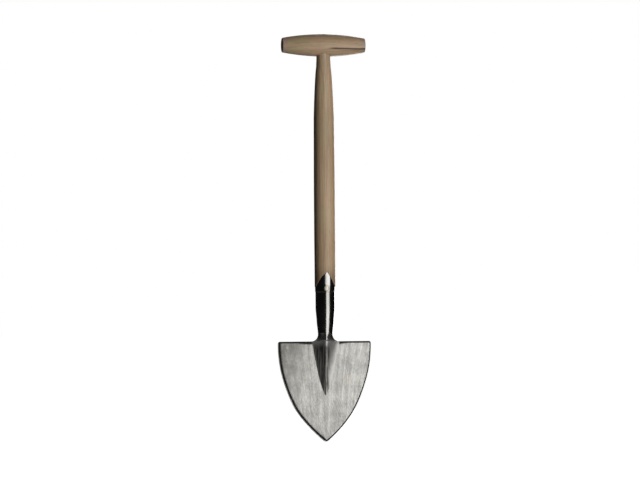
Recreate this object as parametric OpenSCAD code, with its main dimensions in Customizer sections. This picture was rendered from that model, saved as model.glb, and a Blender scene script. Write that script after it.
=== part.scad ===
// Short garden spade with a pointed blade, a steel socket and a turned wooden tee handle.
// It stands upright on the tip of its blade: +Z runs up the shaft, and the ribbed face looks to -Y.

/* [Overall] */
// Height from the tip of the blade to the top of the grip
overall_h = 700; // [620:5:900]

/* [Blade] */
// Width of the blade across its treads
blade_w = 162; // [134:1:197]
// Height of the blade from its tip to its treads
blade_h = 172; // [143:1:207]
// Thickness of the blade's plate
blade_t = 2.2; // [1.8:0.1:3]
// How far the blade's sides come forward of its middle
blade_dish = 1.5; // [1:0.5:3]
// Height of the straight side below each tread
side_h = 6; // [5:0.5:10]
// Radius of the treads' outer corners
corner_r = 4; // [2:0.5:5]
// Radius of the rounded tip
tip_r = 7; // [4:0.5:10]

/* [Socket] */
// Height of the socket's tongues above the treads
socket_h = 119; // [100:1:143]
// How far the tongues rise above the socket's sides
tongue_h = 29; // [23:1:35]
// Radius of the curved sides of a tongue
tongue_r = 85; // [60:1:110]
// Height of the collar below the tongues' sides
collar_h = 5; // [3:0.5:8]
// How far the collar stands out from the tube below it
collar_step = 0.5; // [0.3:0.1:1]
// Thickness of the socket's wall
socket_wall = 1.8; // [1.5:0.1:2.2]
// How much narrower the socket gets from its tongues down to its collar
mouth_taper = 1; // [0.5:0.1:2]
// Height above the treads where the tube begins to narrow
tube_low_h = 57; // [50:1:66]
// Height of the throat above the treads
throat_h = 34; // [28:1:41]
// Diameter of the throat below the tube
throat_d = 29.5; // [23:0.5:30]
// Diameter of the socket at its narrowest, just above the blade
waist_d = 25.4; // [20:0.2:26]
// Radius of the curve from the waist out to the treads
flare_r = 12; // [9:0.5:14]
// Thickness of the flared foot that the blade is let into
foot_t = 8; // [7:0.5:10]
// Length of the rib down the front of the blade
rib_l = 92; // [75:1:110]
// Width of the rib at the treads
rib_w = 46; // [38:1:55]
// Length of the rib down the back of the blade
back_rib_l = 45; // [35:1:55]

/* [Shaft] */
// Diameter of the shaft at its fullest
shaft_d = 36; // [30:0.5:44]
// How far the wood stands proud of the socket all round
wood_proud = 0.2; // [0.1:0.1:0.6]
// Diameter of the turned neck below the grip
neck_d = 25; // [21:0.5:30]
// Length of the curved shoulder between shaft and neck
shoulder_h = 90; // [75:1:110]
// Length of the neck that shows between the shoulder and the grip
neck_h = 17; // [12:1:22]
// Diameter of the tenon that passes through the grip
tenon_d = 18; // [15:0.5:20]

/* [Grip] */
// Length of the grip
grip_l = 144; // [120:1:175]
// Diameter of the grip at its middle
grip_d = 38.5; // [30:0.5:45]
// Diameter of the grip at its ends
grip_end_d = 25; // [19:0.5:29]
// Size of the bevel round each end of the grip
grip_bevel = 1.2; // [0.5:0.1:2]

/* [Fixings] */
// Diameter of the rivet's shank
rivet_d = 5; // [4:0.5:6]
// Diameter of the rivet's heads
rivet_head_d = 9; // [8:0.5:10]
// Height of the rivet above the socket's sides
rivet_up = 1; // [0:0.5:6]
// Thickness of the wedge at its top
wedge_top_t = 3.4; // [2.5:0.1:4]
// Thickness of the wedge at its bottom
wedge_low_t = 1; // [0.8:0.1:1.5]
// Length of the wedge
wedge_l = 24; // [18:1:28]
// Diameter of the grip's steel pin
pin_d = 3; // [2.5:0.5:4]

/* [Hidden] */
$fn = 96;

// Gap left round a piece that is fitted into another
fit_gap = 0.05;
// Extra length that takes a cut clear through a surface
over = 1;

// Length of the straight waist above the flare
waist_run = 2;
// Height of the bottom of the socket's cup above its throat
cup_floor = 2;
// How far below the grip's axis the neck's shoulder is seated
neck_seat = 6;
// Extra depth of the saw cut below the wedge
cut_extra = 2;
// How far the pin's head is punched below the back of the grip
pin_sink = 1.5;
// Wood left between the wedge and the pin, and ahead of the pin's point
pin_margin = 2;

// The shaft swells a little in its middle
shaft_low_d = shaft_d - 0.6;
shaft_top_d = shaft_d - 1.2;

// Heights of the socket's stations
saddle_z = blade_h + socket_h - tongue_h;
tongue_z = blade_h + socket_h;
collar_z = saddle_z - collar_h;
tube_z = blade_h + tube_low_h;
throat_z = blade_h + throat_h;
waist_z = blade_h + flare_r + waist_run;
cup_z = throat_z + cup_floor;
rivet_z = saddle_z + rivet_up;

// Radii of the socket's outside
tongue_out_r = shaft_low_d / 2 - wood_proud;
collar_out_r = tongue_out_r - mouth_taper / 2;
tube_out_r = collar_out_r - collar_step;
throat_r = throat_d / 2;
waist_r = waist_d / 2;

// The grip lies on its own axis above the neck
grip_z = overall_h - grip_d / 2;
neck_low_z = grip_z - grip_d / 2 - neck_h;
neck_top_z = grip_z - neck_seat;
shoulder_z = neck_low_z - shoulder_h;
pin_x = wedge_top_t / 2 + pin_d / 2 + pin_margin;
pin_front_y = -tenon_d / 2 - pin_margin;

// The rivet's heads sit this far from the shaft's axis, a part of the way into the socket's wall
rivet_seat_y = socket_r(rivet_z) - 0.4 * socket_wall;

// The blade's side is one arc that meets the round tip without a kink
side_z = blade_h - side_h;
side_r = (pow(blade_w / 2, 2) + pow(side_z - tip_r, 2) - pow(tip_r, 2)) / (blade_w - 2 * tip_r);
dish_r = (pow(blade_w / 2, 2) + pow(blade_dish, 2)) / (2 * blade_dish);

function mix(a, b, t) = a + (b - a) * t;
function ease(t) = (1 - cos(180 * t)) / 2;
function steps(n) = [for (i = [0 : n]) i / n];

// Radius of the socket's outside at height z, from the waist up to the tongues
function socket_r(z) =
    z >= collar_z ? mix(collar_out_r, tongue_out_r, (z - collar_z) / (tongue_z - collar_z)) :
    z >= tube_z ? mix(tube_out_r, collar_out_r, max(0, 1 - (collar_z - z) / collar_step)) :
    z >= throat_z ? mix(throat_r, tube_out_r, ease((z - throat_z) / (tube_z - throat_z))) :
    mix(waist_r, throat_r, ease((z - waist_z) / (throat_z - waist_z)));

function hollow_r(z) = socket_r(z) - socket_wall;

// Radius of the bare shaft at height z: a slow swell, then the shoulder that runs into the neck
function shoulder_curve(t) = (t + sqrt(1 - pow(1 - t, 2))) / 2;
function swell_d(t) =
    mix(shaft_low_d, shaft_top_d, t) + (shaft_d - mix(shaft_low_d, shaft_top_d, 0.5)) * sin(180 * t);
function shaft_r(z) =
    z <= shoulder_z ? swell_d(max(0, (z - saddle_z) / (shoulder_z - saddle_z))) / 2 :
    mix(neck_d / 2, shaft_top_d / 2, shoulder_curve(max(0, (neck_low_z - z) / shoulder_h)));

// Radius of the grip at distance x from its middle: one long arc
grip_drop = (grip_d - grip_end_d) / 2;
grip_arc_r = (pow(grip_l / 2, 2) + pow(grip_drop, 2)) / (2 * grip_drop);
function grip_r(x) = grip_d / 2 - grip_arc_r + sqrt(pow(grip_arc_r, 2) - x * x);

// Middle of the circle of radius r through p and q that bulges to the right of the way from p to q
function arc_middle(p, q, r) =
    let (half = (q - p) / 2, back = sqrt(r * r - half * half))
    p + half - back * [half.y, -half.x] / norm(half);

// Flat outline in X and Z, pushed through from front to back
module through_y(depth) {
    rotate([90, 0, 0])
        translate([0, 0, -depth / 2])
            linear_extrude(depth)
                children();
}

// Round bar along Y from y = from_y to y = to_y
module bar_y(d, from_y, to_y) {
    translate([0, to_y, 0])
        rotate([90, 0, 0])
            cylinder(h = to_y - from_y, d = d);
}

// Points along an arc about middle, from angle a to angle b
function arc(middle, r, a, b, n) =
    [for (t = steps(n)) middle + r * [cos(mix(a, b, t)), sin(mix(a, b, t))]];

// Right half of the blade's outline in X and Z, from the tip up to its top edge
side_middle = [blade_w / 2 - side_r, side_z];
tip_angle = atan2(tip_r - side_z, side_r - blade_w / 2);
half_outline = concat(
    arc([0, tip_r], tip_r, -90, tip_angle, 6),
    arc(side_middle, side_r, tip_angle, 0, 24),
    arc([blade_w / 2 - corner_r, blade_h - corner_r], corner_r, 0, 90, 6)
);

module blade_outline() {
    last = len(half_outline) - 1;
    left_half = [for (i = [last : -1 : 1]) [-half_outline[i].x, half_outline[i].y]];
    polygon(concat(half_outline, left_half));
}

// Curved plate that the blade is cut from, with its hollow to the front
module dished_plate(t) {
    half_turn = asin((blade_w / 2 + 2 * over) / dish_r);
    translate([0, -dish_r, -over])
        rotate([0, 0, 90 - half_turn])
            rotate_extrude(angle = 2 * half_turn, $fn = 2000)
                translate([dish_r, 0])
                    square([t, blade_h + 2 * over]);
}

module blade_body() {
    intersection() {
        through_y(4 * blade_dish + 4 * blade_t)
            blade_outline();
        dished_plate(blade_t);
    }
}

module blade() {
    color([0.66, 0.65, 0.62])
        blade_body();
}

// Pointed outline of the tongues in X and Z, wider than the socket by grow on each side
module tongue_outline(grow) {
    foot = [tongue_out_r + 1, saddle_z];
    tip = [0, tongue_z + grow];
    middle = arc_middle(foot + [grow, 0], tip, tongue_r);
    intersection() {
        translate(middle)
            circle(tongue_r, $fn = 180);
        translate([-middle.x, middle.y])
            circle(tongue_r, $fn = 180);
        translate([-shaft_d, saddle_z - over])
            square([2 * shaft_d, tongue_h + 2 * over]);
    }
}

// Turned outside of the socket from its waist to the tops of its tongues
module socket_turning() {
    rotate_extrude()
        polygon(concat(
            [[0, waist_z]],
            [for (t = steps(8)) let (z = mix(waist_z, throat_z, t)) [socket_r(z), z]],
            [for (t = steps(12)) if (t > 0) let (z = mix(throat_z, tube_z, t)) [socket_r(z), z]],
            [for (z = [collar_z - collar_step, collar_z, tongue_z]) [socket_r(z), z]],
            [[0, tongue_z]]
        ));
}

// Inside of the socket, which the tapered end of the shaft fills less a gap
module socket_hollow(gap, top_z) {
    rotate_extrude()
        polygon(concat(
            [[0, cup_z + gap]],
            [for (t = steps(12)) let (z = mix(cup_z + gap, tube_z, t)) [hollow_r(z) - gap, z]],
            [for (z = [collar_z - collar_step, collar_z, top_z]) [hollow_r(z) - gap, z]],
            [[0, top_z]]
        ));
}

// Everything at or below the socket's sides, and the two tongues above them
module socket_keep() {
    translate([-shaft_d, -shaft_d, waist_z])
        cube([2 * shaft_d, 2 * shaft_d, saddle_z - waist_z]);
    through_y(2 * shaft_d)
        tongue_outline(0);
}

// Foot of the socket, curving out from the waist to the treads
module socket_foot() {
    translate([0, blade_t / 2, 0])
        through_y(foot_t)
            difference() {
                translate([-waist_r - flare_r, blade_h])
                    square([2 * (waist_r + flare_r), flare_r]);
                for (side = [-1, 1])
                    translate([side * (waist_r + flare_r), blade_h + flare_r])
                        circle(flare_r);
            }
    translate([0, 0, blade_h])
        cylinder(h = waist_z - blade_h, r = waist_r);
}

// Rib that carries the socket down one face of the blade; face is -1 at the front, 1 at the back.
// It is drawn from four slices: half of the waist, a wide foot at the treads, a middle and a tip.
module rib(face, length, width) {
    slice_h = 1;
    lap = 2;
    tip_d = 2;
    hull($fn = 32) {
        translate([0, 0, blade_h + slice_h])
            intersection() {
                cylinder(h = slice_h, r = waist_r, $fn = 32);
                translate([-waist_r, face < 0 ? -waist_r : 0, 0])
                    cube([2 * waist_r, waist_r, slice_h]);
            }
        translate([-width / 2, face < 0 ? -lap / 2 : blade_t / 2, blade_h - slice_h])
            cube([width, lap, slice_h]);
        translate([-width / 3, face < 0 ? -lap : blade_t / 2, blade_h - length * 0.45])
            cube([2 * width / 3, lap, slice_h]);
        translate([0, blade_t / 2 + face * (blade_t / 2 + tip_d / 4), blade_h - length])
            cylinder(h = slice_h, d = tip_d, $fn = 32);
    }
}

module socket() {
    color([0.16, 0.15, 0.14])
        difference() {
            union() {
                intersection() {
                    socket_turning();
                    socket_keep();
                }
                socket_foot();
                rib(-1, rib_l, rib_w);
                rib(1, back_rib_l, rib_w);
            }
            socket_hollow(0, tongue_z + over);
            blade_body();
            translate([0, 0, rivet_z])
                bar_y(rivet_d + 2 * fit_gap, -shaft_d, shaft_d);
            for (face = [-1, 1])
                rivet_seat(face);
        }
}

// Flat seat cut for one head of the rivet
module rivet_seat(face) {
    translate([0, 0, rivet_z])
        rotate([face * -90, 0, 0])
            translate([0, 0, rivet_seat_y])
                cylinder(h = shaft_d, d = rivet_head_d + 2 * fit_gap);
}

// Low domed head of the rivet, from its seat outwards along Z
module rivet_head() {
    rise = 0.8;
    rim = 0.3;
    dome_r = (pow(rivet_head_d / 2, 2) + rise * rise) / (2 * rise);
    rotate_extrude()
        polygon(concat(
            [[0, 0], [rivet_head_d / 2, 0]],
            [for (t = steps(8)) let (x = rivet_head_d / 2 * (1 - t))
                [x, rim + rise - dome_r + sqrt(dome_r * dome_r - x * x)]]
        ));
}

module socket_rivet() {
    color([0.62, 0.57, 0.45])
        translate([0, 0, rivet_z]) {
            bar_y(rivet_d, -rivet_seat_y - fit_gap, rivet_seat_y + fit_gap);
            for (face = [-1, 1])
                rotate([face * -90, 0, 0])
                    translate([0, 0, rivet_seat_y])
                        rivet_head();
        }
}

// Bare round shaft from the socket's sides to the top of the neck
module shaft_turning() {
    rotate_extrude()
        polygon(concat(
            [[0, saddle_z]],
            [for (t = steps(24)) let (z = mix(saddle_z, shoulder_z, t)) [shaft_r(z), z]],
            [for (t = steps(30)) if (t > 0) let (z = mix(shoulder_z, neck_low_z, t)) [shaft_r(z), z]],
            [[neck_d / 2, neck_top_z], [0, neck_top_z]]
        ));
}

// Outside of the grip before it is bored
module barrel() {
    half = grip_l / 2;
    translate([0, 0, grip_z])
        rotate([0, 90, 0])
            rotate_extrude()
                polygon(concat(
                    [[0, -half], [grip_r(half) - grip_bevel, -half]],
                    [for (t = steps(32)) let (x = mix(grip_bevel - half, half - grip_bevel, t)) [grip_r(x), x]],
                    [[grip_r(half) - grip_bevel, half], [0, half]]
                ));
}

module tenon(gap) {
    translate([0, 0, neck_top_z - over])
        cylinder(h = grip_d, d = tenon_d + 2 * gap);
}

// Tapered slice for the wedge, thin at its low end; extra deepens the saw cut below the wedge
module wedge_slice(extra) {
    top_z = overall_h + over;
    low_z = overall_h - wedge_l;
    through_y(tenon_d + 2)
        polygon([
            [-wedge_top_t / 2, top_z],
            [wedge_top_t / 2, top_z],
            [wedge_low_t / 2, low_z],
            [wedge_low_t / 2, low_z - extra],
            [-wedge_low_t / 2, low_z - extra],
            [-wedge_low_t / 2, low_z]
        ]);
}

module pin_bar(gap, from_y, to_y) {
    translate([pin_x, 0, grip_z])
        bar_y(pin_d + 2 * gap, from_y, to_y);
}

module shaft() {
    color([0.62, 0.53, 0.42])
        difference() {
            union() {
                difference() {
                    shaft_turning();
                    through_y(2 * shaft_d)
                        tongue_outline(fit_gap);
                }
                socket_hollow(fit_gap, tongue_z);
                intersection() {
                    tenon(0);
                    barrel();
                }
            }
            translate([0, 0, rivet_z])
                bar_y(rivet_d + 2 * fit_gap, -shaft_d, shaft_d);
            wedge_slice(cut_extra);
            pin_bar(fit_gap, pin_front_y - fit_gap, grip_d);
        }
}

module grip() {
    color([0.60, 0.50, 0.39])
        difference() {
            barrel();
            tenon(fit_gap);
            translate([0, 0, grip_z - grip_d])
                cylinder(h = neck_top_z - grip_z + grip_d + fit_gap, d = neck_d + 2 * fit_gap);
            pin_bar(fit_gap, pin_front_y - fit_gap, grip_d);
        }
}

module tenon_wedge() {
    color([0.42, 0.30, 0.19])
        intersection() {
            wedge_slice(0);
            tenon(0);
            barrel();
        }
}

module grip_pin() {
    color([0.55, 0.55, 0.54])
        pin_bar(0, pin_front_y, grip_d / 2 - pin_sink);
}

blade();
socket();
socket_rivet();
shaft();
grip();
tenon_wedge();
grip_pin();
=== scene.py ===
"""Looks of a short garden spade: satin steel blade, dark polished socket and a turned ash tee handle."""

import math

import bmesh
import bpy
from mathutils import Matrix, Vector, noise


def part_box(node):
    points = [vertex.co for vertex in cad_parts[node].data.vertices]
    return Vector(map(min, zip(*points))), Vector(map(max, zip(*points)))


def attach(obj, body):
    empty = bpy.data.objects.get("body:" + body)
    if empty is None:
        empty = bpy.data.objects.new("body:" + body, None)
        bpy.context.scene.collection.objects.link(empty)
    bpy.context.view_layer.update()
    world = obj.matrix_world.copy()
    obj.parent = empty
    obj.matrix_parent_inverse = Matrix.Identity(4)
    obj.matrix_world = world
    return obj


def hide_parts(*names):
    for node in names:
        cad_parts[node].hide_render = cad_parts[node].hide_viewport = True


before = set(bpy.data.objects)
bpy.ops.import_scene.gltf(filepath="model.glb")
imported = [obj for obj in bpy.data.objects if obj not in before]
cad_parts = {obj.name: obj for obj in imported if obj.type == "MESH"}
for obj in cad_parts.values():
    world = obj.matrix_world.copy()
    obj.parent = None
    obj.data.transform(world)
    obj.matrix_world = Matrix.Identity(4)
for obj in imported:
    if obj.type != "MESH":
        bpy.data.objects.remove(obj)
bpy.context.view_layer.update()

MM = 0.001

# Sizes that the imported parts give
blade_low, blade_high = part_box("blade")
socket_low, socket_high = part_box("socket")
shaft_low, shaft_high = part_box("shaft")
grip_low, grip_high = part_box("grip")
rivet_low, rivet_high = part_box("socket_rivet")
wedge_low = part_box("tenon_wedge")[0]
pin_low, pin_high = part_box("grip_pin")

overall_h = shaft_high.z
blade_half = blade_high.x
blade_h = blade_high.z
blade_dish = -blade_low.y
blade_t = blade_high.y
shaft_d = shaft_high.x - shaft_low.x
cup_z = shaft_low.z
tongue_z = socket_high.z
rib_low_z = socket_low.z - 4 * MM
grip_half = grip_high.x
grip_d = grip_high.y - grip_low.y
rivet_z = (rivet_low.z + rivet_high.z) / 2
rivet_head_r = (rivet_high.x - rivet_low.x) / 2
rivet_r = 2.5 * MM
pin_x = (pin_low.x + pin_high.x) / 2
pin_r = (pin_high.x - pin_low.x) / 2

# Blade
side_h = 6 * MM
corner_r = 4 * MM
tip_r = 7 * MM
left_bevel_w = 5.2 * MM
right_bevel_w = 3.0 * MM
bevel_drop = 1.7 * MM
edge_round = 0.6 * MM
tread_round = 2.8 * MM
tread_drop = 1.4 * MM
belly = 1.4 * MM
belly_low = 6 * MM
belly_run = 90 * MM
left_set = 1.6 * MM
left_set_run = 75 * MM

# Socket
tongue_h = 29 * MM
tongue_arc_r = 85 * MM
collar_h = 5 * MM
collar_step = 0.5 * MM
socket_wall = 1.8 * MM
mouth_taper = 1 * MM
wood_proud = 0.2 * MM
tube_up = 57 * MM
throat_up = 34 * MM
throat_r = 14.75 * MM
waist_r = 12.7 * MM
flare_r = 12 * MM
waist_run = 2 * MM
back_rib_l = 45 * MM
fit_gap = 0.05 * MM
seam = 0.25 * MM
tongue_turn = math.radians(4)
tongue_lean = 0.45

# Shaft and grip
neck_r = 12.5 * MM
shoulder_h = 90 * MM
neck_h = 17 * MM
neck_seat = 6 * MM
tenon_r = 9 * MM
grip_end_r = 12.5 * MM
grip_bevel = 1.2 * MM
wedge_top_t = 3.4 * MM
wedge_low_t = 1 * MM
saw_cut_extra = 2 * MM

# Stations that follow from those sizes
shaft_low_r = shaft_d / 2 - 0.3 * MM
shaft_top_r = shaft_d / 2 - 0.6 * MM
tongue_out_r = shaft_low_r - wood_proud
collar_out_r = tongue_out_r - mouth_taper / 2
tube_out_r = collar_out_r - collar_step
saddle_z = tongue_z - tongue_h
collar_z = saddle_z - collar_h
tube_z = blade_h + tube_up
throat_z = blade_h + throat_up
waist_z = blade_h + flare_r + waist_run
grip_z = overall_h - grip_d / 2
neck_low_z = grip_z - grip_d / 2 - neck_h
neck_top_z = grip_z - neck_seat
shoulder_z = neck_low_z - shoulder_h
side_z = blade_h - side_h
side_r = (blade_half**2 + (side_z - tip_r) ** 2 - tip_r**2) / (2 * blade_half - 2 * tip_r)
dish_r = (blade_half**2 + blade_dish**2) / (2 * blade_dish)
grip_drop = grip_d / 2 - grip_end_r
grip_arc_r = (grip_half**2 + grip_drop**2) / (2 * grip_drop)


def mix(a, b, t):
    return a + (b - a) * t


def clamp(t):
    return min(1.0, max(0.0, t))


def ease(t):
    t = clamp(t)
    return t * t * (3 - 2 * t)


def drawn(t):
    """Gentle slope with softened ends."""
    t = clamp(t)
    return mix(t, ease(t), 0.55)


def steps(n, start=0):
    return [i / n for i in range(start, n + 1)]


def ripple(x, y, z, size, seed):
    """Smooth unevenness from -1 to 1 whose bumps are about size wide."""
    return noise.noise(Vector((x / size + seed, y / size - seed, z / size + 0.5 * seed)))


# Meshes -------------------------------------------------------------------------------------------

def finish_mesh(name, bm, crease):
    bmesh.ops.remove_doubles(bm, verts=bm.verts, dist=0.002 * MM)
    bmesh.ops.dissolve_degenerate(bm, edges=bm.edges, dist=0.001 * MM)
    bmesh.ops.recalc_face_normals(bm, faces=bm.faces)
    mesh = bpy.data.meshes.new(name)
    bm.to_mesh(mesh)
    bm.free()
    mesh.shade_smooth()
    mesh.set_sharp_from_angle(angle=math.radians(crease))
    piece = bpy.data.objects.new(name, mesh)
    bpy.context.scene.collection.objects.link(piece)
    return piece


def loft(name, loops, crease=35):
    """Closed skin over rings of points; a ring whose points meet closes that end."""
    bm = bmesh.new()
    rings = [[bm.verts.new(point) for point in loop] for loop in loops]
    count = len(rings[0])
    for low, high in zip(rings, rings[1:]):
        for k in range(count):
            after = (k + 1) % count
            bm.faces.new((low[k], low[after], high[after], high[k]))
    return finish_mesh(name, bm, crease)


def carve(piece, cutters, crease=35):
    """Cuts the cutters out of piece for good."""
    for cutter in cutters:
        cut = piece.modifiers.new("cut", "BOOLEAN")
        cut.operation = "DIFFERENCE"
        cut.solver = "MANIFOLD"
        cut.object = cutter
    bpy.context.view_layer.update()
    shape = bpy.data.meshes.new_from_object(piece.evaluated_get(bpy.context.evaluated_depsgraph_get()))
    piece.modifiers.clear()
    piece.data = shape
    shape.shade_smooth()
    shape.set_sharp_from_angle(angle=math.radians(crease))
    for cutter in cutters:
        bpy.data.objects.remove(cutter)
    return piece


def turning(name, profile, place, count=128, crease=35):
    """Skin turned about the Z axis from (radius, height) pairs, then set down by the matrix place."""
    loops = []
    for radius, height in profile:
        loops.append([
            place @ Vector((radius * math.cos(turn), radius * math.sin(turn), height))
            for turn in [2 * math.pi * k / count for k in range(count)]
        ])
    return loft(name, loops, crease)


# Blade --------------------------------------------------------------------------------------------

side_middle_x = blade_half - side_r
tip_turn = math.atan2(tip_r - side_z, side_r - blade_half)


def blade_belly(z):
    """How much fuller than an arc the sides are at height z, between the tip and mid height."""
    return belly * math.sin(math.pi * clamp((z - belly_low) / belly_run)) ** 2


def blade_outline():
    """Right half of the blade's outline from the tip to the end of its top edge, as (x, z)."""
    points = []
    for t in steps(10):
        turn = mix(-math.pi / 2, tip_turn, t)
        points.append((tip_r * math.cos(turn), tip_r + tip_r * math.sin(turn)))
    for t in steps(110, 1):
        turn = mix(tip_turn, 0, t)
        z = side_z + side_r * math.sin(turn)
        points.append((side_middle_x + side_r * math.cos(turn) + blade_belly(z), z))
    for t in steps(16):
        turn = t * math.pi / 2
        points.append((
            blade_half - corner_r + corner_r * math.cos(turn),
            blade_h - corner_r + corner_r * math.sin(turn),
        ))
    return points


def side_distance(x, z):
    """How far (x, z) lies in from the blade's curved sides and tip."""
    x = abs(x)
    turn = math.atan2(z - tip_r, x)
    if turn < tip_turn:
        return tip_r - math.hypot(x, z - tip_r)
    if z > side_z:
        return blade_half - x
    return side_r - math.hypot(x - blade_belly(z) - side_middle_x, z - side_z)


def blade_wave(x, z):
    """Slight unevenness that forging and grinding left in the plate."""
    broad = 0.22 * MM * ripple(x, 0, z, 60 * MM, 3.1)
    fine = 0.05 * MM * ripple(x, 0, z, 17 * MM, 8.4)
    return broad + fine


def blade_set(z):
    """How far the plate's middle stands to the left of the shaft at height z."""
    return -left_set * ease(z / left_set_run)


def plate_front(x, z):
    return -dish_r + math.sqrt(dish_r**2 - x * x) + blade_wave(x, z)


def plate_back(x, z):
    return -dish_r + math.sqrt((dish_r + blade_t) ** 2 - x * x) + blade_wave(x, z)


def front_fall(x, z):
    """How far the front falls away at the ground bevel along the sides, and at the treads."""
    width = left_bevel_w if x < 0 else right_bevel_w
    side = clamp(1 - side_distance(x, z) / width)
    tread = clamp(1 - (blade_h - z) / tread_round)
    return max(bevel_drop * ease(side * 1.25) * mix(0.85, 1, side), tread_drop * tread**1.25)


def back_fall(x, z):
    """How far the back is rounded over at its edges."""
    side = clamp(1 - side_distance(x, z) / edge_round)
    tread = clamp(1 - (blade_h - z) / edge_round)
    return 0.3 * MM * max(side, tread) ** 2


def blade_columns(half_w, lean):
    """Places across half a row, closer together along the edge."""
    near = [0, 0.35, 0.8, 1.3, 1.8, 2.3, 2.8, 3.6, 5, 7]
    squeeze = min(1, half_w / (12 * MM)) / max(0.5, lean)
    edge = [half_w - min(d * MM * squeeze, half_w * d / 9) for d in near]
    return [edge[-1] * t for t in steps(34)] + edge[-2::-1]


def make_blade():
    outline = blade_outline()[1:]
    loops = []
    for i, (half_w, z) in enumerate(outline):
        after = outline[min(i + 1, len(outline) - 1)]
        before = outline[max(i - 1, 0)]
        run = math.hypot(after[0] - before[0], after[1] - before[1])
        lean = abs(after[1] - before[1]) / max(run, 1e-9)
        right = blade_columns(half_w, lean)
        across = [-x for x in right[:0:-1]] + right
        shift = blade_set(z)
        front = [
            Vector((x + shift, plate_front(x + shift, z) + front_fall(x, z), z))
            for x in across
        ]
        back = [
            Vector((x + shift, plate_back(x + shift, z) - back_fall(x, z), z))
            for x in reversed(across)
        ]
        loops.append(front + back)
    half = len(loops[0]) // 2
    middle = [(a + b) / 2 for a, b in zip(loops[-1][:half], reversed(loops[-1][half:]))]
    loops.append(middle + middle[::-1])
    tip = Vector((0, blade_t / 2, 0))
    return loft("blade_plate", [[tip] * (2 * half)] + loops, crease=50)


# Socket -------------------------------------------------------------------------------------------

def socket_r(z):
    if z >= collar_z:
        return mix(collar_out_r, tongue_out_r, (z - collar_z) / (tongue_z - collar_z))
    if z >= tube_z:
        return mix(tube_out_r, collar_out_r, ease(1 - (collar_z - z) / collar_step))
    if z >= throat_z:
        return mix(throat_r, tube_out_r, drawn((z - throat_z) / (tube_z - throat_z)))
    return mix(waist_r, throat_r, drawn((z - waist_z) / (throat_z - waist_z)))


def tongue_arc():
    """Middle of the arc that draws the right side of a tongue, in (x, z)."""
    foot = Vector((tongue_out_r + 1 * MM, saddle_z))
    tip = Vector((0, tongue_z))
    half = (tip - foot) / 2
    back = math.sqrt(tongue_arc_r**2 - half.length_squared)
    return foot + half - back * Vector((half.y, -half.x)).normalized()


tongue_middle = tongue_arc()


def tongue_top(turn):
    """Height of the tongues' edge on the side of the socket that faces turn, from the front."""
    side = math.sin(turn - tongue_turn)
    lean = math.copysign(tongue_lean * (1 - abs(side)), side)
    x = tongue_out_r * abs(side) * (1 + lean)
    wobble = 0.25 * MM * math.sin(5 * turn + 1)
    return tongue_middle.y + math.sqrt(tongue_arc_r**2 - (x - tongue_middle.x) ** 2) + wobble


def socket_half_width(z):
    """Half the socket's width from the tip of its front rib up to its waist."""
    if z >= blade_h + flare_r:
        return socket_r(max(z, waist_z))
    if z >= blade_h:
        up = flare_r - (z - blade_h)
        return waist_r + flare_r - math.sqrt(flare_r**2 - up**2)
    share = (blade_h - z) / (blade_h - rib_low_z)
    return (waist_r + flare_r) * clamp(1 - share) ** 0.6


def rib_height(z, low_z, power):
    return waist_r * clamp((z - low_z) / (waist_z - low_z)) ** power


def rib_section(u, blunt):
    """Height of the rib across its width: a rounded crest, straight flanks and a hollow foot."""
    a = (math.sqrt(u * u + blunt * blunt) - blunt) / (math.sqrt(1 + blunt * blunt) - blunt)
    return (1 - a) ** 1.5


def socket_ring(z, turns):
    """One level ring of the socket's outside."""
    ring = []
    flat = ease((waist_z + 3 * MM - z) / (24 * MM))
    width = socket_half_width(z)
    blunt = mix(0.05, 0.13, ease((z - rib_low_z) / (blade_h - rib_low_z)))
    for turn in turns:
        facing = -1 if math.cos(turn) > 0 else 1
        side = math.asin(math.sin(turn)) / (math.pi / 2)
        u = mix(math.sin(turn), side, flat)
        x = width * u
        round_y = math.sqrt(max(0, 1 - u * u))
        if z >= waist_z:
            ring.append(Vector((x, facing * width * round_y, z)))
            continue
        forged = 0.12 * MM * ripple(x, 7 * facing * MM, z, 9 * MM, 5.5) * flat
        if facing < 0:
            height = rib_height(z, rib_low_z, 1.25)
            base = plate_front(x, min(z, blade_h)) + 0.15 * MM
        else:
            height = rib_height(z, blade_h - back_rib_l, 1.1)
            base = plate_back(x, min(z, blade_h)) - 0.15 * MM
        round_part = facing * height * round_y
        foot = 1.6 * MM * ease((z - blade_h) / (3 * MM)) * (1 - u**6)
        flat_part = base + facing * (height * rib_section(u, blunt) + foot + forged * (1 - u * u))
        ring.append(Vector((x, mix(round_part, flat_part, flat), z)))
    return ring


def beaten_flat(x):
    """Shape of the flatter middle that hammering gave each tongue, across its width."""
    return ease(x / (7 * MM)) * (1 - ease((x - 6 * MM) / (8 * MM)))


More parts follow.
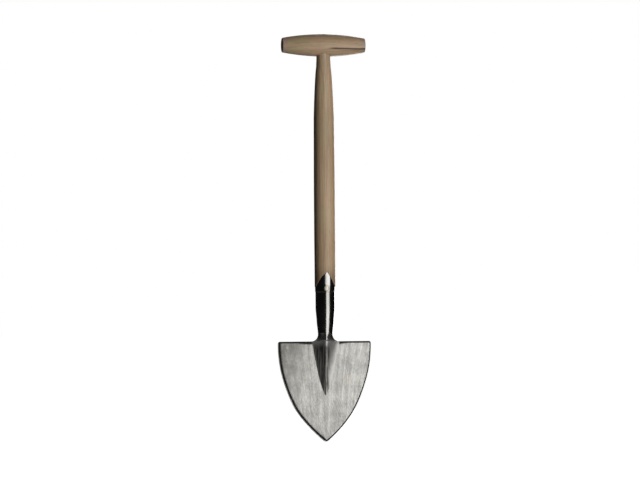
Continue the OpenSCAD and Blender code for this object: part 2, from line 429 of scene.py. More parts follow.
def make_socket():
    count = 176
    turns = [2 * math.pi * (k + 0.5) / count for k in range(count)]
    rib_zs = [mix(rib_low_z, blade_h - 2 * MM, t) for t in steps(70, 1)]
    foot_zs = [mix(blade_h - 2 * MM, waist_z, t) for t in steps(40, 1)]
    tube_zs = [mix(waist_z, collar_z - 2 * collar_step, t) for t in steps(44, 1)]
    step_zs = [collar_z - collar_step * s for s in (1.3, 1, 0.8, 0.6, 0.4, 0.2, 0, -0.4)]
    point = Vector((0, plate_front(0, rib_low_z) + 0.3 * MM, rib_low_z - 0.5 * MM))
    loops = [[point] * count]
    loops += [socket_ring(z, turns) for z in rib_zs + foot_zs + tube_zs + step_zs]

    def top_ring(inset, drop, rise):
        ring = []
        for turn in turns:
            z = mix(step_zs[-1], tongue_top(turn), rise) - drop
            x = socket_r(z) * abs(math.sin(turn))
            flat = 0.42 * MM * ease((z - collar_z) / (16 * MM)) * beaten_flat(x)
            radius = socket_r(z) - inset + flat
            ring.append(Vector((radius * math.sin(turn), -radius * math.cos(turn), z)))
        return ring

    loops += [top_ring(0, 0.6 * MM, t) for t in steps(22, 1)]
    loops += [top_ring(0.02 * MM, 0.3 * MM, 1), top_ring(0.1 * MM, 0.1 * MM, 1), top_ring(0.3 * MM, 0, 1)]
    loops += [top_ring(socket_wall - 0.1 * MM, 0, 1), top_ring(socket_wall, 0.2 * MM, 1)]
    inner_zs = [mix(collar_z, cup_z - fit_gap, t) for t in steps(16)]
    for z in inner_zs:
        radius = socket_r(z) - socket_wall
        loops.append([Vector((radius * math.sin(turn), -radius * math.cos(turn), z)) for turn in turns])
    loops.append([Vector((0, 0, cup_z - fit_gap))] * count)
    return loft("socket_forging", loops, crease=48)


def make_rivet():
    """Rivet with both heads hammered down to the curve of the socket."""
    count = 48
    dome = ((0.25, 0.45), (0.5, 0.43), (0.7, 0.40), (0.86, 0.34), (0.95, 0.2), (1, 0), (1, -0.5))
    rings = []
    for facing in (-1, 1):
        side = []
        for share, lift in dome:
            ring = []
            for k in range(count):
                turn = 2 * math.pi * k / count
                x = rivet_head_r * share * math.cos(turn)
                z = rivet_z + rivet_head_r * share * math.sin(turn)
                struck = 0.03 * ripple(x, facing * MM, z, 1.6 * MM, 2.2)
                reach = math.sqrt(socket_r(z) ** 2 - x * x) + (lift + struck) * MM
                ring.append(Vector((x, facing * reach, z)))
            side.append(ring)
        rings.append(side)
    front, back = rings
    shank = []
    for y in (-socket_r(rivet_z) + 1.5 * MM, socket_r(rivet_z) - 1.5 * MM):
        shank.append([
            Vector((rivet_r * math.cos(turn), y, rivet_z + rivet_r * math.sin(turn)))
            for turn in [2 * math.pi * k / count for k in range(count)]
        ])
    middle_y = socket_r(rivet_z) + 0.46 * MM
    front_middle = Vector((0, -middle_y, rivet_z))
    back_middle = Vector((0, middle_y, rivet_z))
    loops = [[front_middle] * count] + front + shank + back[::-1] + [[back_middle] * count]
    return loft("socket_rivet_peened", loops, crease=40)


# Shaft and grip -----------------------------------------------------------------------------------

def shaft_r(z):
    if z <= shoulder_z:
        t = clamp((z - saddle_z) / (shoulder_z - saddle_z))
        line = mix(shaft_low_r, shaft_top_r, t)
        return line + (shaft_d / 2 - mix(shaft_low_r, shaft_top_r, 0.5)) * math.sin(math.pi * t)
    t = clamp((neck_low_z - z) / shoulder_h)
    t = (math.hypot(t, 0.04) - 0.04) / (math.hypot(1, 0.04) - 0.04)
    slim = 0.5 * MM * ease((z - neck_low_z) / (14 * MM))
    return mix(neck_r, shaft_top_r, (t + math.sqrt(1 - (1 - t) ** 2)) / 2) - slim


def grip_r(x):
    return grip_d / 2 - grip_arc_r + math.sqrt(grip_arc_r**2 - x * x)


def make_shaft():
    count = 144
    turns = [2 * math.pi * k / count for k in range(count)]
    joint_z = tongue_z + 9 * MM

    def ring(radius_at, z_at):
        made = []
        for turn in turns:
            z = z_at(turn)
            radius = radius_at(z)
            spot = (10 * MM * math.sin(turn), 10 * MM * math.cos(turn), z / 4)
            hand = 0.12 * MM * ripple(*spot, 16 * MM, 1.7)
            radius += hand * ease((z - saddle_z) / (40 * MM))
            made.append(Vector((radius * math.sin(turn), -radius * math.cos(turn), z)))
        return made

    def level(radius, z):
        return [Vector((radius * math.sin(turn), -radius * math.cos(turn), z)) for turn in turns]

    core_gap = socket_wall + fit_gap
    loops = [level(0, cup_z)]
    loops += [level(socket_r(z) - core_gap, z) for z in [mix(cup_z, collar_z, t) for t in steps(12)]]
    loops.append(ring(lambda z: socket_r(z) - core_gap, lambda turn: tongue_top(turn) + seam))
    lips = ((0.5, 0), (0.22, 0.08), (0.05, 0.3), (0, 0.6))
    for inset, rise in lips:
        loops.append(ring(
            lambda z, i=inset: shaft_r(z) - i * MM,
            lambda turn, r=rise: tongue_top(turn) + seam + r * MM,
        ))
    foot_rise = seam + lips[-1][1] * MM
    for t in steps(18, 1):
        loops.append(ring(shaft_r, lambda turn, t=t: mix(tongue_top(turn) + foot_rise, joint_z, t)))
    body_zs = [mix(joint_z, shoulder_z, t) for t in steps(60, 1)]
    shoulder_zs = [mix(shoulder_z, neck_low_z, t) for t in steps(44, 1)]
    neck_zs = [mix(neck_low_z, neck_top_z, t) for t in steps(10, 1)]
    loops += [ring(shaft_r, lambda turn, z=z: z) for z in body_zs + shoulder_zs + neck_zs]
    loops.append(level(tenon_r, neck_top_z))
    loops += [level(tenon_r, mix(neck_top_z, overall_h - 2 * MM, t)) for t in steps(6, 1)]
    for share in (1, 0.97, 0.9, 0.75, 0.5, 0.25, 0):
        loops.append([])
        for turn in turns:
            x = tenon_r * share * math.sin(turn)
            y = -tenon_r * share * math.cos(turn)
            worn = 0.04 * MM * ripple(x, y, 0, 2 * MM, 9.3)
            rim = 0.2 * MM * clamp((share - 0.9) / 0.1)
            loops[-1].append(Vector((x, y, grip_z + math.sqrt(grip_r(x) ** 2 - y * y) + worn - rim)))
    shaft = loft("shaft_turned", loops, crease=38)
    return carve(shaft, [saw_cut()], crease=38)


def saw_cut():
    """Tapered slice for the wedge, with the saw cut below it, as one solid to cut with."""
    low_z = wedge_low.z
    high_z = overall_h + 1 * MM
    right = [(wedge_low_t / 2, low_z - saw_cut_extra), (wedge_low_t / 2, low_z), (wedge_top_t / 2, high_z)]
    outline = right + [(-x, z) for x, z in reversed(right)]
    reach = tenon_r + 1 * MM
    bm = bmesh.new()
    front = [bm.verts.new((x, -reach, z)) for x, z in outline]
    back = [bm.verts.new((x, reach, z)) for x, z in outline]
    bm.faces.new(front)
    bm.faces.new(back[::-1])
    for k in range(len(outline)):
        after = (k + 1) % len(outline)
        bm.faces.new((front[after], front[k], back[k], back[after]))
    return finish_mesh("saw_cut", bm, 35)


def make_wedge():
    """Hardwood wedge, driven into the saw cut and trimmed along the curve of the grip."""
    rows = 26
    loops = []
    low_z = wedge_low.z
    top_zs = [mix(low_z, overall_h - 1.5 * MM, t) for t in steps(8)]
    half_y = tenon_r - 0.05 * MM

    def ring(z_at, inset):
        front, back = [], []
        for t in steps(rows):
            y = mix(-half_y + inset, half_y - inset, t)
            z = z_at(y)
            share = clamp((z - low_z) / (overall_h + 1 * MM - low_z))
            half_w = mix(wedge_low_t, wedge_top_t, share) / 2 - inset
            front.append(Vector((half_w, y, z)))
            back.append(Vector((-half_w, y, z)))
        return front + back[::-1]

    def trimmed(y):
        worn = 0.05 * MM * ripple(0, y, 0, 2.5 * MM, 6.6)
        return grip_z + math.sqrt((grip_d / 2) ** 2 - y * y) + 0.12 * MM + worn

    loops = [ring(lambda y, z=z: z, 0) for z in top_zs]
    loops.append(ring(lambda y: trimmed(y) - 0.25 * MM, 0))
    loops.append(ring(trimmed, 0.15 * MM))
    half = len(loops[0]) // 2

    def shut(loop):
        middle = [(a + b) / 2 for a, b in zip(loop[:half], reversed(loop[half:]))]
        return middle + middle[::-1]

    return loft("tenon_wedge_trimmed", [shut(loops[0])] + loops + [shut(loops[-1])], crease=35)


def make_grip():
    """Barrel of the grip, bored for the tenon, the neck and the pin."""
    end = grip_half
    profile = [(0, -end), (0.45, -end), (0.9, -end)]
    profile = [(share * (grip_end_r - grip_bevel), x) for share, x in profile]
    for t in steps(5):
        turn = t * math.pi / 2
        soft = 0.35 * MM * math.sin(2 * turn)
        profile.append((
            mix(grip_end_r - grip_bevel, grip_r(end - grip_bevel), t) + soft / 2,
            -end + grip_bevel * t - soft / 2,
        ))
    profile += [(grip_r(x), x) for x in [mix(-end + grip_bevel, 0, t) for t in steps(70, 1)]]
    profile += [(radius, -x) for radius, x in profile[-2::-1]]
    place = Matrix.Translation((0, 0, grip_z)) @ Matrix.Rotation(math.pi / 2, 4, "Y")
    grip = turning("grip_barrel", profile, place, count=160, crease=30)
    for vert in grip.data.vertices:
        x, y, z = vert.co
        out = Vector((0, y, z - grip_z))
        if out.length > 5 * MM:
            hand = 0.14 * MM * ripple(x / 3, y, z, 13 * MM, 4.9)
            vert.co += out.normalized() * hand * clamp((end - abs(x)) / (6 * MM))
    tenon_bar = bar_profile(tenon_r + fit_gap, neck_top_z - 1 * MM, overall_h + 5 * MM)
    tenon_hole = turning("tenon_hole", tenon_bar, Matrix())
    neck_bar = bar_profile(neck_r + 0.12 * MM, grip_z - grip_d, neck_top_z + fit_gap)
    neck_hole = turning("neck_hole", neck_bar, Matrix())
    pin_bar = bar_profile(pin_r + fit_gap, 0, grip_d)
    pin_hole = turning("pin_hole", pin_bar, along_y(pin_x, 0, grip_z), count=32)
    return carve(grip, [tenon_hole, neck_hole, pin_hole], crease=30)


def bar_profile(radius, low, high):
    return [(0, low), (radius, low), (radius, high), (0, high)]


def along_y(x, y, z):
    """Matrix that lays a turning's axis along +Y from the point given."""
    return Matrix.Translation((x, y, z)) @ Matrix.Rotation(-math.pi / 2, 4, "X")


def make_pin():
    """Steel pin, punched a little below the wood, with a soft arris and a punch mark."""
    back = pin_high.y
    profile = [(0, pin_low.y), (pin_r * 0.6, pin_low.y), (pin_r, pin_low.y + 0.8 * MM)]
    profile += [(pin_r, back - 0.35 * MM), (pin_r - 0.1 * MM, back - 0.1 * MM), (pin_r - 0.35 * MM, back)]
    profile += [(0.55 * MM, back), (0.4 * MM, back - 0.12 * MM), (0, back - 0.2 * MM)]
    return turning("grip_pin_punched", profile, along_y(pin_x, 0, grip_z), count=40)


# Materials ----------------------------------------------------------------------------------------

class Wire:
    """One output of a shader node, which can be worked out further with plain arithmetic."""

    def __init__(self, bench, socket):
        self.bench = bench
        self.socket = socket

    def sum(self, operation, first, second):
        return self.bench.add("ShaderNodeMath", {"operation": operation}, {0: first, 1: second})

    def __add__(self, other):
        return self.sum("ADD", self, other)

    def __radd__(self, other):
        return self.sum("ADD", other, self)

    def __sub__(self, other):
        return self.sum("SUBTRACT", self, other)

    def __rsub__(self, other):
        return self.sum("SUBTRACT", other, self)

    def __mul__(self, other):
        return self.sum("MULTIPLY", self, other)

    def __rmul__(self, other):
        return self.sum("MULTIPLY", other, self)

    def __truediv__(self, other):
        return self.sum("DIVIDE", self, other)

    def __pow__(self, other):
        return self.sum("POWER", self, other)

    def sine(self):
        return self.sum("SINE", self, 0)

    def whole(self):
        return self.sum("FLOOR", self, 0)

    def size(self):
        return self.sum("ABSOLUTE", self, 0)

    def band(self, low, high, start=0.0, end=1.0):
        """Goes smoothly from start to end as the value goes from low to high."""
        settings = {"interpolation_type": "SMOOTHSTEP"}
        values = {"Value": self, "From Min": low, "From Max": high, "To Min": start, "To Max": end}
        return self.bench.add("ShaderNodeMapRange", settings, values)


class Bench:
    """A new material and the nodes that are laid out in it."""

    def __init__(self, name):
        self.material = bpy.data.materials.new(name)
        self.material.use_nodes = True
        self.tree = self.material.node_tree
        self.shader = self.tree.nodes["Principled BSDF"]

    def add(self, kind, settings=None, values=None, out=0):
        node = self.tree.nodes.new(kind)
        for key, value in (settings or {}).items():
            if key == "stops":
                self.set_stops(node.color_ramp, value)
            else:
                setattr(node, key, value)
        for key, value in (values or {}).items():
            self.feed(node.inputs[key], value)
        return Wire(self, node.outputs[out])

    def set_stops(self, ramp, stops):
        while len(ramp.elements) < len(stops):
            ramp.elements.new(0.5)
        for element, (position, colour) in zip(ramp.elements, stops):
            element.position = position
            element.color = (*colour, 1)

    def feed(self, socket, value):
        if isinstance(value, Wire):
            self.tree.links.new(value.socket, socket)
        elif socket.type == "RGBA" and len(value) == 3:
            socket.default_value = (*value, 1)
        else:
            socket.default_value = value

    def place(self):
        """Where on the object, in metres, as X, Y and Z."""
        spot = self.add("ShaderNodeTexCoord", out=3)
        return [self.add("ShaderNodeSeparateXYZ", values={0: spot}, out=i) for i in range(3)]

    def facing(self):
        """The direction that the surface faces, as its x, y and z."""
        direction = self.add("ShaderNodeNewGeometry", out="Normal")
        return [self.add("ShaderNodeSeparateXYZ", None, {0: direction}, out) for out in range(3)]

    def point(self, x, y, z):
        return self.add("ShaderNodeCombineXYZ", values={0: x, 1: y, 2: z})

    def grain(self, spot, detail=3.0, rough=0.55):
        values = {"Vector": spot, "Scale": 1.0, "Detail": detail, "Roughness": rough}
        return self.add("ShaderNodeTexNoise", {"noise_dimensions": "3D"}, values)

    def blend(self, share, first, second):
        settings = {"data_type": "RGBA", "clamp_factor": True}
        return self.add("ShaderNodeMix", settings, {0: share, 6: first, 7: second}, out=2)

    def shaded(self, colour, share):
        return self.add("ShaderNodeVectorMath", {"operation": "SCALE"}, {0: colour, "Scale": share})

    def ramp(self, share, stops):
        return self.add("ShaderNodeValToRGB", {"stops": stops}, {0: share})

    def bump(self, height, depth, strength=1.0, under=None):
        values = {"Height": height, "Distance": depth, "Strength": strength}
        if under is not None:
            values["Normal"] = under
        return self.add("ShaderNodeBump", values=values)

    def wire_up(self, **inputs):
        """Sets the surface; an underscore stands for a space in an input's name."""
        for key, value in inputs.items():
            self.feed(self.shader.inputs[key.replace("_", " ").title().replace("Ior", "IOR")], value)
        return self.material


def wood_grain(bench, across, deep, along, ring_w, heart):
    """Growth rings and fibres of ash; returns (latewood, pores, fibres, cloud, bands)."""
    drift = bench.grain(bench.point(across * 14, deep * 14, along * 2.2), detail=2.0)
    side = across + heart + (drift - 0.5) * 0.012
    depth = deep + 0.011 + along * 0.02
    radius = (side * side + depth * depth) ** 0.5
    uneven = bench.grain(bench.point(radius * 160, 0.0, 0.0), detail=1.0)
    phase = radius / ring_w + (uneven - 0.5) * 1.1
    turn = phase - phase.whole()
    late = turn.band(0.35, 0.8) * turn.band(0.9, 1.0, 1.0, 0.0)
    pore_noise = bench.grain(bench.point(across * 2600, deep * 2600, along * 95), detail=2.0)
    pores = pore_noise.band(0.58, 0.7) * (1 - late)
    fibres = bench.grain(bench.point(across * 900, deep * 900, along * 16), detail=4.0, rough=0.65)
    cloud = bench.grain(bench.point(across * 30, deep * 30, along * 7), detail=3.0)
    bands = bench.grain(bench.point(across * 250, deep * 250, along * 7), detail=3.0, rough=0.6)
    return late, pores, fibres, cloud, bands


def ash_colours(bench, late, pores, fibres, cloud, bands, pale, dark):
    """Colour of oiled ash that has seen some use."""
    warm = bench.blend(cloud.band(0.3, 0.7), pale, dark)
    ringed = bench.blend(late * 0.6, warm, (0.37, 0.240, 0.132))
    streaked = bench.blend(fibres.band(0.35, 0.7) * 0.5, ringed, (0.30, 0.212, 0.130))
    shaded = bench.blend(bands.band(0.50, 0.72) * 0.75, streaked, (0.22, 0.152, 0.090))
    lit = bench.blend(bands.band(0.46, 0.28) * 0.40, shaded, (0.66, 0.480, 0.310))
    return bench.blend(pores * 0.6, lit, (0.15, 0.092, 0.048))


def ash_shaft():
    bench = Bench("oiled_ash_shaft")
    x, y, z = bench.place()
    turned_x = x * 0.92 + y * 0.39
    turned_y = y * 0.92 - x * 0.39
    late, pores, fibres, cloud, bands = wood_grain(bench, turned_x, turned_y, z, 2.6 * MM, 0.055)
    pale = (0.545, 0.384, 0.240)
    dark = (0.470, 0.330, 0.198)
    colour = ash_colours(bench, late, pores, fibres, cloud, bands, pale, dark)
    olive = bench.grain(bench.point(x * 24, y * 24, z * 9), detail=2.0).band(0.52, 0.68) * 0.35
    tinted = bench.blend(olive, colour, (0.400, 0.335, 0.190))
    near_tongue = z.band(tongue_z - 14 * MM, tongue_z + 14 * MM, 0.75, 0.0)
    soot = near_tongue * (0.45 + fibres.band(0.3, 0.7) * 0.55)
    held = z.band(neck_low_z - 10 * MM, neck_top_z - 4 * MM) * cloud.band(0.3, 0.65) * 0.35
    stained = bench.blend(soot, tinted, (0.130, 0.085, 0.055))
    handled = bench.blend(held, stained, (0.360, 0.270, 0.200))
    rough = 0.44 + (fibres - 0.5) * 0.22 + pores * 0.2 - held * 0.2
    lathe = (z * 2600).sine() * 0.15
    skin = bench.bump(fibres * 0.55 + late * 0.35 - pores * 0.9 + lathe, 0.16 * MM, 0.55)
    return bench.wire_up(base_color=handled, roughness=rough, normal=skin, specular_ior_level=0.42)


def ash_grip():
    bench = Bench("oiled_ash_grip")
    x, y, z = bench.place()
    up = z - grip_z
    late, pores, fibres, cloud, bands = wood_grain(bench, up, y, x, 2.3 * MM, 0.042)
    pale = (0.575, 0.402, 0.245)
    dark = (0.500, 0.350, 0.205)
    colour = ash_colours(bench, late, pores, fibres, cloud, bands, pale, dark)
    left = x.band(-15 * MM, -50 * MM) * cloud.band(0.25, 0.6)
    olive = bench.blend(left * 0.55, colour, (0.345, 0.300, 0.160))
    worn_end = x.size().band(grip_half - 12 * MM, grip_half - 5 * MM) * 0.7
    end_tone = bench.blend(worn_end, olive, (0.350, 0.262, 0.215))
    line = up + 6.6 * MM + (bench.grain(bench.point(x * 30, 0.0, 0.0), detail=1.0) - 0.5) * 1.6 * MM
    crack = line.size().band(2.1 * MM, 0.9 * MM) * x.band(-2 * MM, 22 * MM) * y.band(2 * MM, -2 * MM)
    vein_run = x.band(18 * MM, 34 * MM) * y.band(2 * MM, -2 * MM)
    vein = (line + 3.4 * MM).size().band(1.2 * MM, 0.3 * MM) * vein_run
    second = (line - 5.2 * MM).size().band(1.1 * MM, 0.2 * MM) * fibres.band(0.4, 0.6) * 0.6
    dark_line = crack * fibres.band(0.2, 0.45, 0.6, 1.0) + vein * 0.5 + second * 0.3
    rosy = bench.grain(bench.point(x * 26, y * 60, z * 110), detail=3.0).band(0.48, 0.62) * 0.6
    blushed = bench.blend(rosy, end_tone, (0.47, 0.280, 0.195))
    streaked = bench.blend(dark_line.band(0.0, 1.0) * 0.93, blushed, (0.070, 0.040, 0.020))
    # Painted shade: the grip's upper and lower faces, picked out by the way they face, are darkened.
    top_bottom_shade = bench.facing()[2].size().band(0.90, 0.995) * 0.55
    top_bottom_shaded = bench.blend(top_bottom_shade, streaked, (0.110, 0.074, 0.046))
    neck_mark = bench.grain(bench.point(x * 70, y * 70, z * 70), detail=3.0)
    ring = (x * x + y * y) ** 0.5
    grime = ring.band(neck_r + 2.2 * MM, neck_r) * up.band(-8 * MM, -14 * MM) * neck_mark.band(0.3, 0.6)
    finished = bench.blend(grime * 0.5, top_bottom_shaded, (0.14, 0.09, 0.06))
    rough = 0.40 + (fibres - 0.5) * 0.24 + pores * 0.2 + dark_line * 0.15
    skin = bench.bump(fibres * 0.5 + late * 0.3 - pores * 0.8 - dark_line * 1.2, 0.18 * MM, 0.6)
    return bench.wire_up(base_color=finished, roughness=rough, normal=skin, specular_ior_level=0.42)


def wedge_wood():
    bench = Bench("dark_hardwood")
    x, y, z = bench.place()
    fibres = bench.grain(bench.point(x * 2400, y * 500, z * 60), detail=4.0, rough=0.65)
    cloud = bench.grain(bench.point(x * 220, y * 220, z * 60), detail=2.0)
    browns = [(0.0, (0.105, 0.058, 0.030)), (1.0, (0.265, 0.155, 0.082))]
    tone = bench.ramp(fibres.band(0.25, 0.75), browns)
    colour = bench.blend(cloud.band(0.4, 0.7) * 0.4, tone, (0.15, 0.085, 0.045))
    rough = 0.48 + (fibres - 0.5) * 0.3
    return bench.wire_up(base_color=colour, roughness=rough, normal=bench.bump(fibres, 0.12 * MM, 0.6))


def blade_steel():
    """Ground steel plate, brushed from the treads to the tip."""
    bench = Bench("brushed_blade_steel")
    x, y, z = bench.place()
    drift = bench.grain(bench.point(x * 12, y * 12, z * 5), detail=2.0)
    slant = x * (1 + (blade_h - z) * 4) + (drift - 0.5) * 0.009
    fine = bench.grain(bench.point(slant * 1500, y * 300, z * 14), detail=4.0, rough=0.7)
    broad = bench.grain(bench.point(slant * 210, y * 60, z * 7), detail=3.0, rough=0.6)
    mottle = bench.grain(bench.point(x * 90, y * 85, z * 34), detail=5.0, rough=0.62)
    specks = bench.grain(bench.point(x * 430, y * 300, z * 240), detail=2.0)
    cloud = bench.grain(bench.point(x * 17, y * 17, z * 13), detail=2.0)
    tilt = bench.point((x * 0.93 + z * 0.37) * 800, y * 300, (z * 0.93 - x * 0.37) * 30)
    crossing = bench.grain(tilt, detail=3.0, rough=0.65).band(0.35, 0.65, 0.78, 1.12)
    brushing = fine.band(0.25, 0.75, 0.76, 1.18) * broad.band(0.3, 0.7, 0.84, 1.12)
    clouds = mottle.band(0.3, 0.7, 0.72, 1.18) * cloud.band(0.3, 0.7, 0.90, 1.06)
    patches = clouds * specks.band(0.3, 0.7, 0.88, 1.12)
    shade = brushing * patches * (1 + (crossing - 1) * z.band(115 * MM, 55 * MM))
    tone = bench.blend(cloud.band(0.35, 0.65), (0.442, 0.436, 0.413), (0.402, 0.394, 0.369))
    brushed = bench.shaded(tone, shade)
    corner = bench.grain(bench.point(x * 40, y * 40, z * 40), detail=3.0)
    # Painted shade: patches on the upper left of the blade are darkened, standing in for the weaker light
    # on that side.
    upper_left_shade_mask = x.band(-14 * MM, -72 * MM) * z.band(50 * MM, 158 * MM) * corner.band(0.1, 0.6)
    straw = bench.grain(bench.point(x * 30, y * 30, z * 24), detail=3.0).band(0.56, 0.72)
    warmed = bench.blend(straw * 0.25, brushed, (0.39, 0.36, 0.26))
    upper_left_shaded = bench.blend(upper_left_shade_mask * 0.85, warmed, (0.110, 0.108, 0.094))
    # Painted shade: the ground bevels (picked out by the way they face), a band under the treads and a
    # wider band beside the socket are darkened. This stands in for the dark reflections along those edges.
    front = bench.facing()[1].size()
    bevel = front.band(0.990, 0.955)
    near = (x + 6 * MM).size().band(50 * MM, 26 * MM) * z.band(blade_h - 6.5 * MM, blade_h - 3 * MM)
    top = z.band(blade_h - 3.6 * MM, blade_h - 1.8 * MM)
    painted_edge_shade = bevel + top + near * corner.band(0.1, 0.4)
    with_painted_shade = bench.blend(painted_edge_shade.band(0.0, 1.0) * 0.95, upper_left_shaded, (0.020, 0.019, 0.018))
    rough = 0.44 + (fine - 0.5) * 0.16 + (mottle - 0.5) * 0.12 + upper_left_shade_mask * 0.06
    rougher = rough + painted_edge_shade.band(0.0, 1.0) * 0.35
    scratches = bench.bump(fine * 0.6 + broad * 0.8, 0.05 * MM, 0.5)
    skin = bench.bump(mottle, 0.10 * MM, 0.35, scratches)
    return bench.wire_up(base_color=with_painted_shade, metallic=0.75, roughness=rougher, normal=skin)


def socket_steel():
    """Dark forged steel with a high polish."""
    bench = Bench("dark_polished_socket_steel")
    x, y, z = bench.place()
    fine = bench.grain(bench.point(x * 1300, y * 1300, z * 22), detail=4.0, rough=0.65)
    mottle = bench.grain(bench.point(x * 95, y * 95, z * 45), detail=4.0, rough=0.6)
    cloud = bench.grain(bench.point(x * 32, y * 32, z * 14), detail=2.0)
    low = z.band(blade_h + 18 * MM, blade_h - 4 * MM)
    tone = bench.blend(cloud.band(0.35, 0.65), (0.262, 0.256, 0.243), (0.215, 0.208, 0.195))
    ground = bench.blend(low * 0.65, tone, (0.375, 0.368, 0.350))
    shade = fine.band(0.25, 0.75, 0.88, 1.08) * mottle.band(0.3, 0.7, 0.88, 1.06)
    brushed = bench.shaded(ground, shade)
    rough = 0.17 + (mottle - 0.5) * 0.12 + (fine - 0.5) * 0.08 + low * 0.28
    scratches = bench.bump(fine, 0.03 * MM, 0.4)
    skin = bench.bump(mottle, 0.12 * MM, 0.25, scratches)
    streaks = bench.grain(bench.point(x * 420, y * 120, z * 16), detail=3.0, rough=0.65)
    # Painted shade: below the top of the blade, the rib's crest and its left flank are darkened in
    # streaks.
    spine = x.size().band(9 * MM, 2.5 * MM) * 0.75 + x.band(2 * MM, -9 * MM) * 0.85
    on_rib = z.band(blade_h, blade_h - 14 * MM) * (0.35 + streaks.band(0.62, 0.35))
    with_painted_shade = bench.blend((spine * on_rib).band(0.0, 0.95, 0.0, 0.95), brushed, (0.045, 0.043, 0.040))
    # Painted highlight: the steel of the tongues above the rivet is made lighter, so that their glint
    # reads brighter.
    tongue_glint_boost = z.band(rivet_z + 3 * MM, rivet_z + 8 * MM) * 0.3
    glint_brightened = bench.blend(tongue_glint_boost, with_painted_shade, (0.40, 0.395, 0.38))
    return bench.wire_up(base_color=glint_brightened, metallic=1.0, roughness=rough, normal=skin)


def rivet_steel():
    bench = Bench("dressed_rivet_steel")
    x, y, z = bench.place()
    hammered = bench.grain(bench.point(x * 520, y * 520, z * 520), detail=2.0)
    fine = bench.grain(bench.point(x * 2600, y * 900, z * 500), detail=3.0)
    tone = bench.ramp(fine.band(0.3, 0.7), [(0.0, (0.40, 0.375, 0.30)), (1.0, (0.51, 0.485, 0.40))])
    reach = (x * x + (z - rivet_z) * (z - rivet_z)) ** 0.5
    rim = reach.band(rivet_head_r - 0.9 * MM, rivet_head_r - 0.1 * MM)
    colour = bench.blend(rim * 0.6, tone, (0.10, 0.09, 0.06))
    rough = 0.48 + (fine - 0.5) * 0.2
    skin = bench.bump(hammered, 0.10 * MM, 0.4)
    return bench.wire_up(base_color=colour, metallic=1.0, roughness=rough, normal=skin)


def pin_steel():
    bench = Bench("pin_steel")
    x, y, z = bench.place()
    turned = bench.grain(bench.point(x * 1900, y * 300, z * 1900), detail=3.0)
    tone = bench.ramp(turned.band(0.3, 0.7), [(0.0, (0.40, 0.39, 0.37)), (1.0, (0.58, 0.57, 0.55))])
    rough = 0.34 + (turned - 0.5) * 0.3
    skin = bench.bump(turned, 0.06 * MM, 0.4)
    return bench.wire_up(base_color=tone, metallic=1.0, roughness=rough, normal=skin)


# The pieces ---------------------------------------------------------------------------------------

def assemble():
    made = [
        (make_blade(), blade_steel(), "blade", "blade_steel"),
        (make_socket(), socket_steel(), "socket", "socket_steel"),
        (make_rivet(), rivet_steel(), "socket_rivet", "rivet_steel"),
        (make_shaft(), ash_shaft(), "shaft", "shaft_ash"),
        (make_grip(), ash_grip(), "grip", "grip_ash"),
        (make_wedge(), wedge_wood(), "tenon_wedge", "wedge_wood"),
        (make_pin(), pin_steel(), "grip_pin", "pin_steel"),
    ]
    for piece, material, node, slot_name in made:
        piece.data.materials.clear()
        piece.data.materials.append(material)
        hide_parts(node)
        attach(piece, "root")


# Stage, light and camera --------------------------------------------------------------------------

def add_floor():
    mesh = bpy.data.meshes.new("studio_floor")
    reach = 12.0
    corners = [(-reach, -reach, 0), (reach, -reach, 0), (reach, reach, 0), (-reach, reach, 0)]
    mesh.from_pydata(corners, [], [(0, 1, 2, 3)])
    floor = bpy.data.objects.new("studio_floor", mesh)
    bpy.context.scene.collection.objects.link(floor)
    bench = Bench("white_paper")
    x, y, z = bench.place()
    paper = bench.grain(bench.point(x * 9, y * 9, 0.0), detail=2.0)
    tone = bench.ramp(paper, [(0.0, (0.20, 0.20, 0.20)), (1.0, (0.22, 0.22, 0.22))])
    away = ((x * x + y * y) ** 0.5).band(0.1, 0.6)
    glow = bench.ramp(away, [(0.0, (0.965, 0.965, 0.965)), (1.0, (1.0, 1.0, 1.0))])
    bench.wire_up(base_color=tone, roughness=0.9, specular_ior_level=0.0)
    bench.wire_up(emission_color=glow, emission_strength=1.0)
    mesh.materials.append(bench.material)
    floor.visible_diffuse = False
    floor.visible_glossy = False
    floor.visible_shadow = False


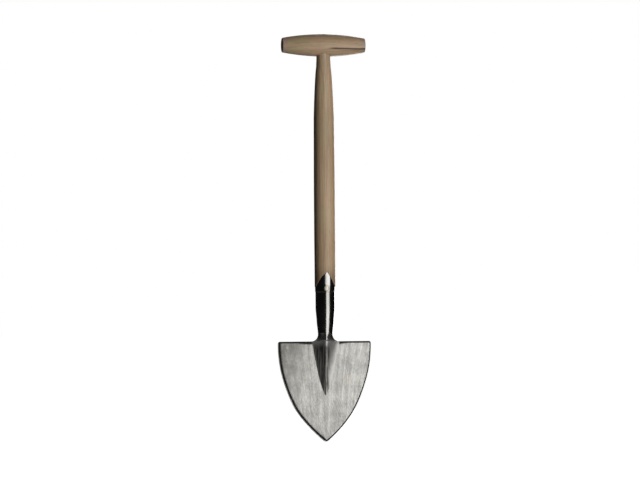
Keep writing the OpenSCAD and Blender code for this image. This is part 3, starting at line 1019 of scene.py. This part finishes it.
def add_world():
    """White for the camera, dark around the object, and a soft glow above and below in reflections."""
    world = bpy.data.worlds.new("studio")
    bpy.context.scene.world = world
    world.use_nodes = True
    nodes = world.node_tree.nodes
    links = world.node_tree.links
    nodes.clear()
    output = nodes.new("ShaderNodeOutputWorld")
    chooser = nodes.new("ShaderNodeMixShader")
    rays = nodes.new("ShaderNodeLightPath")
    fill = nodes.new("ShaderNodeBackground")
    fill.inputs["Color"].default_value = (0.95, 0.97, 1.0, 1)
    fill.inputs["Strength"].default_value = 0.014
    paper = nodes.new("ShaderNodeBackground")
    paper.inputs["Color"].default_value = (1, 1, 1, 1)
    paper.inputs["Strength"].default_value = 1.0
    glow = nodes.new("ShaderNodeBackground")
    glow.inputs["Color"].default_value = (0.97, 0.98, 1.0, 1)
    direction = nodes.new("ShaderNodeTexCoord")
    parts = nodes.new("ShaderNodeSeparateXYZ")
    steepness = nodes.new("ShaderNodeMath")
    steepness.operation = "ABSOLUTE"
    rise = nodes.new("ShaderNodeMapRange")
    for socket, value in (("From Min", 0.28), ("From Max", 0.68), ("To Min", 0.014), ("To Max", 0.30)):
        rise.inputs[socket].default_value = value
    seen = nodes.new("ShaderNodeMixShader")
    links.new(direction.outputs["Generated"], parts.inputs[0])
    links.new(parts.outputs["Z"], steepness.inputs[0])
    links.new(steepness.outputs[0], rise.inputs["Value"])
    links.new(rise.outputs[0], glow.inputs["Strength"])
    links.new(rays.outputs["Is Glossy Ray"], seen.inputs[0])
    links.new(fill.outputs[0], seen.inputs[1])
    links.new(glow.outputs[0], seen.inputs[2])
    links.new(rays.outputs["Is Camera Ray"], chooser.inputs[0])
    links.new(seen.outputs[0], chooser.inputs[1])
    links.new(paper.outputs[0], chooser.inputs[2])
    links.new(chooser.outputs[0], output.inputs[0])


def toward(azimuth, elevation):
    """Unit vector towards a place; azimuth 0 is straight in front, and 90 is to the right."""
    a = math.radians(azimuth)
    e = math.radians(elevation)
    return Vector((math.sin(a) * math.cos(e), -math.cos(a) * math.cos(e), math.sin(e)))


def aim(thing, place, target, roll=0.0):
    look = (target - place).to_track_quat("-Z", "Y").to_matrix().to_4x4()
    thing.matrix_world = Matrix.Translation(place) @ look @ Matrix.Rotation(math.radians(roll), 4, "Z")


def add_softbox(name, azimuth, elevation, distance, width, height, power, middle):
    light = bpy.data.lights.new(name, "AREA")
    light.shape = "RECTANGLE"
    light.size = width
    light.size_y = height
    light.energy = power
    lamp = bpy.data.objects.new(name, light)
    bpy.context.scene.collection.objects.link(lamp)
    lamp.visible_camera = False
    aim(lamp, middle + toward(azimuth, elevation) * distance, middle)


def add_camera(target):
    lens = bpy.data.cameras.new("front_view")
    lens.sensor_width = 36
    lens.lens = 160.5
    lens.clip_end = 60
    camera = bpy.data.objects.new("front_view", lens)
    bpy.context.scene.collection.objects.link(camera)
    aim(camera, target + toward(camera_azimuth, camera_elevation) * camera_distance, target, camera_roll)
    bpy.context.scene.camera = camera


camera_azimuth = -9.0
camera_elevation = -1.0
camera_distance = 4.9
camera_roll = -0.42

assemble()
add_floor()
add_world()
light_middle = Vector((0, 0, 0.37))
key_azimuth = camera_azimuth + 34
back_azimuth = 157
add_softbox("key_softbox", key_azimuth, -2, 1.15, 0.78, 2.0, 15.5, light_middle)
add_softbox("back_softbox", back_azimuth, 6, 1.3, 0.5, 1.8, 14, light_middle)
add_camera(Vector((-8.1 * MM, 0, 346.9 * MM)))
bpy.context.scene.view_settings.view_transform = "Standard"
bpy.context.scene.view_settings.look = "None"
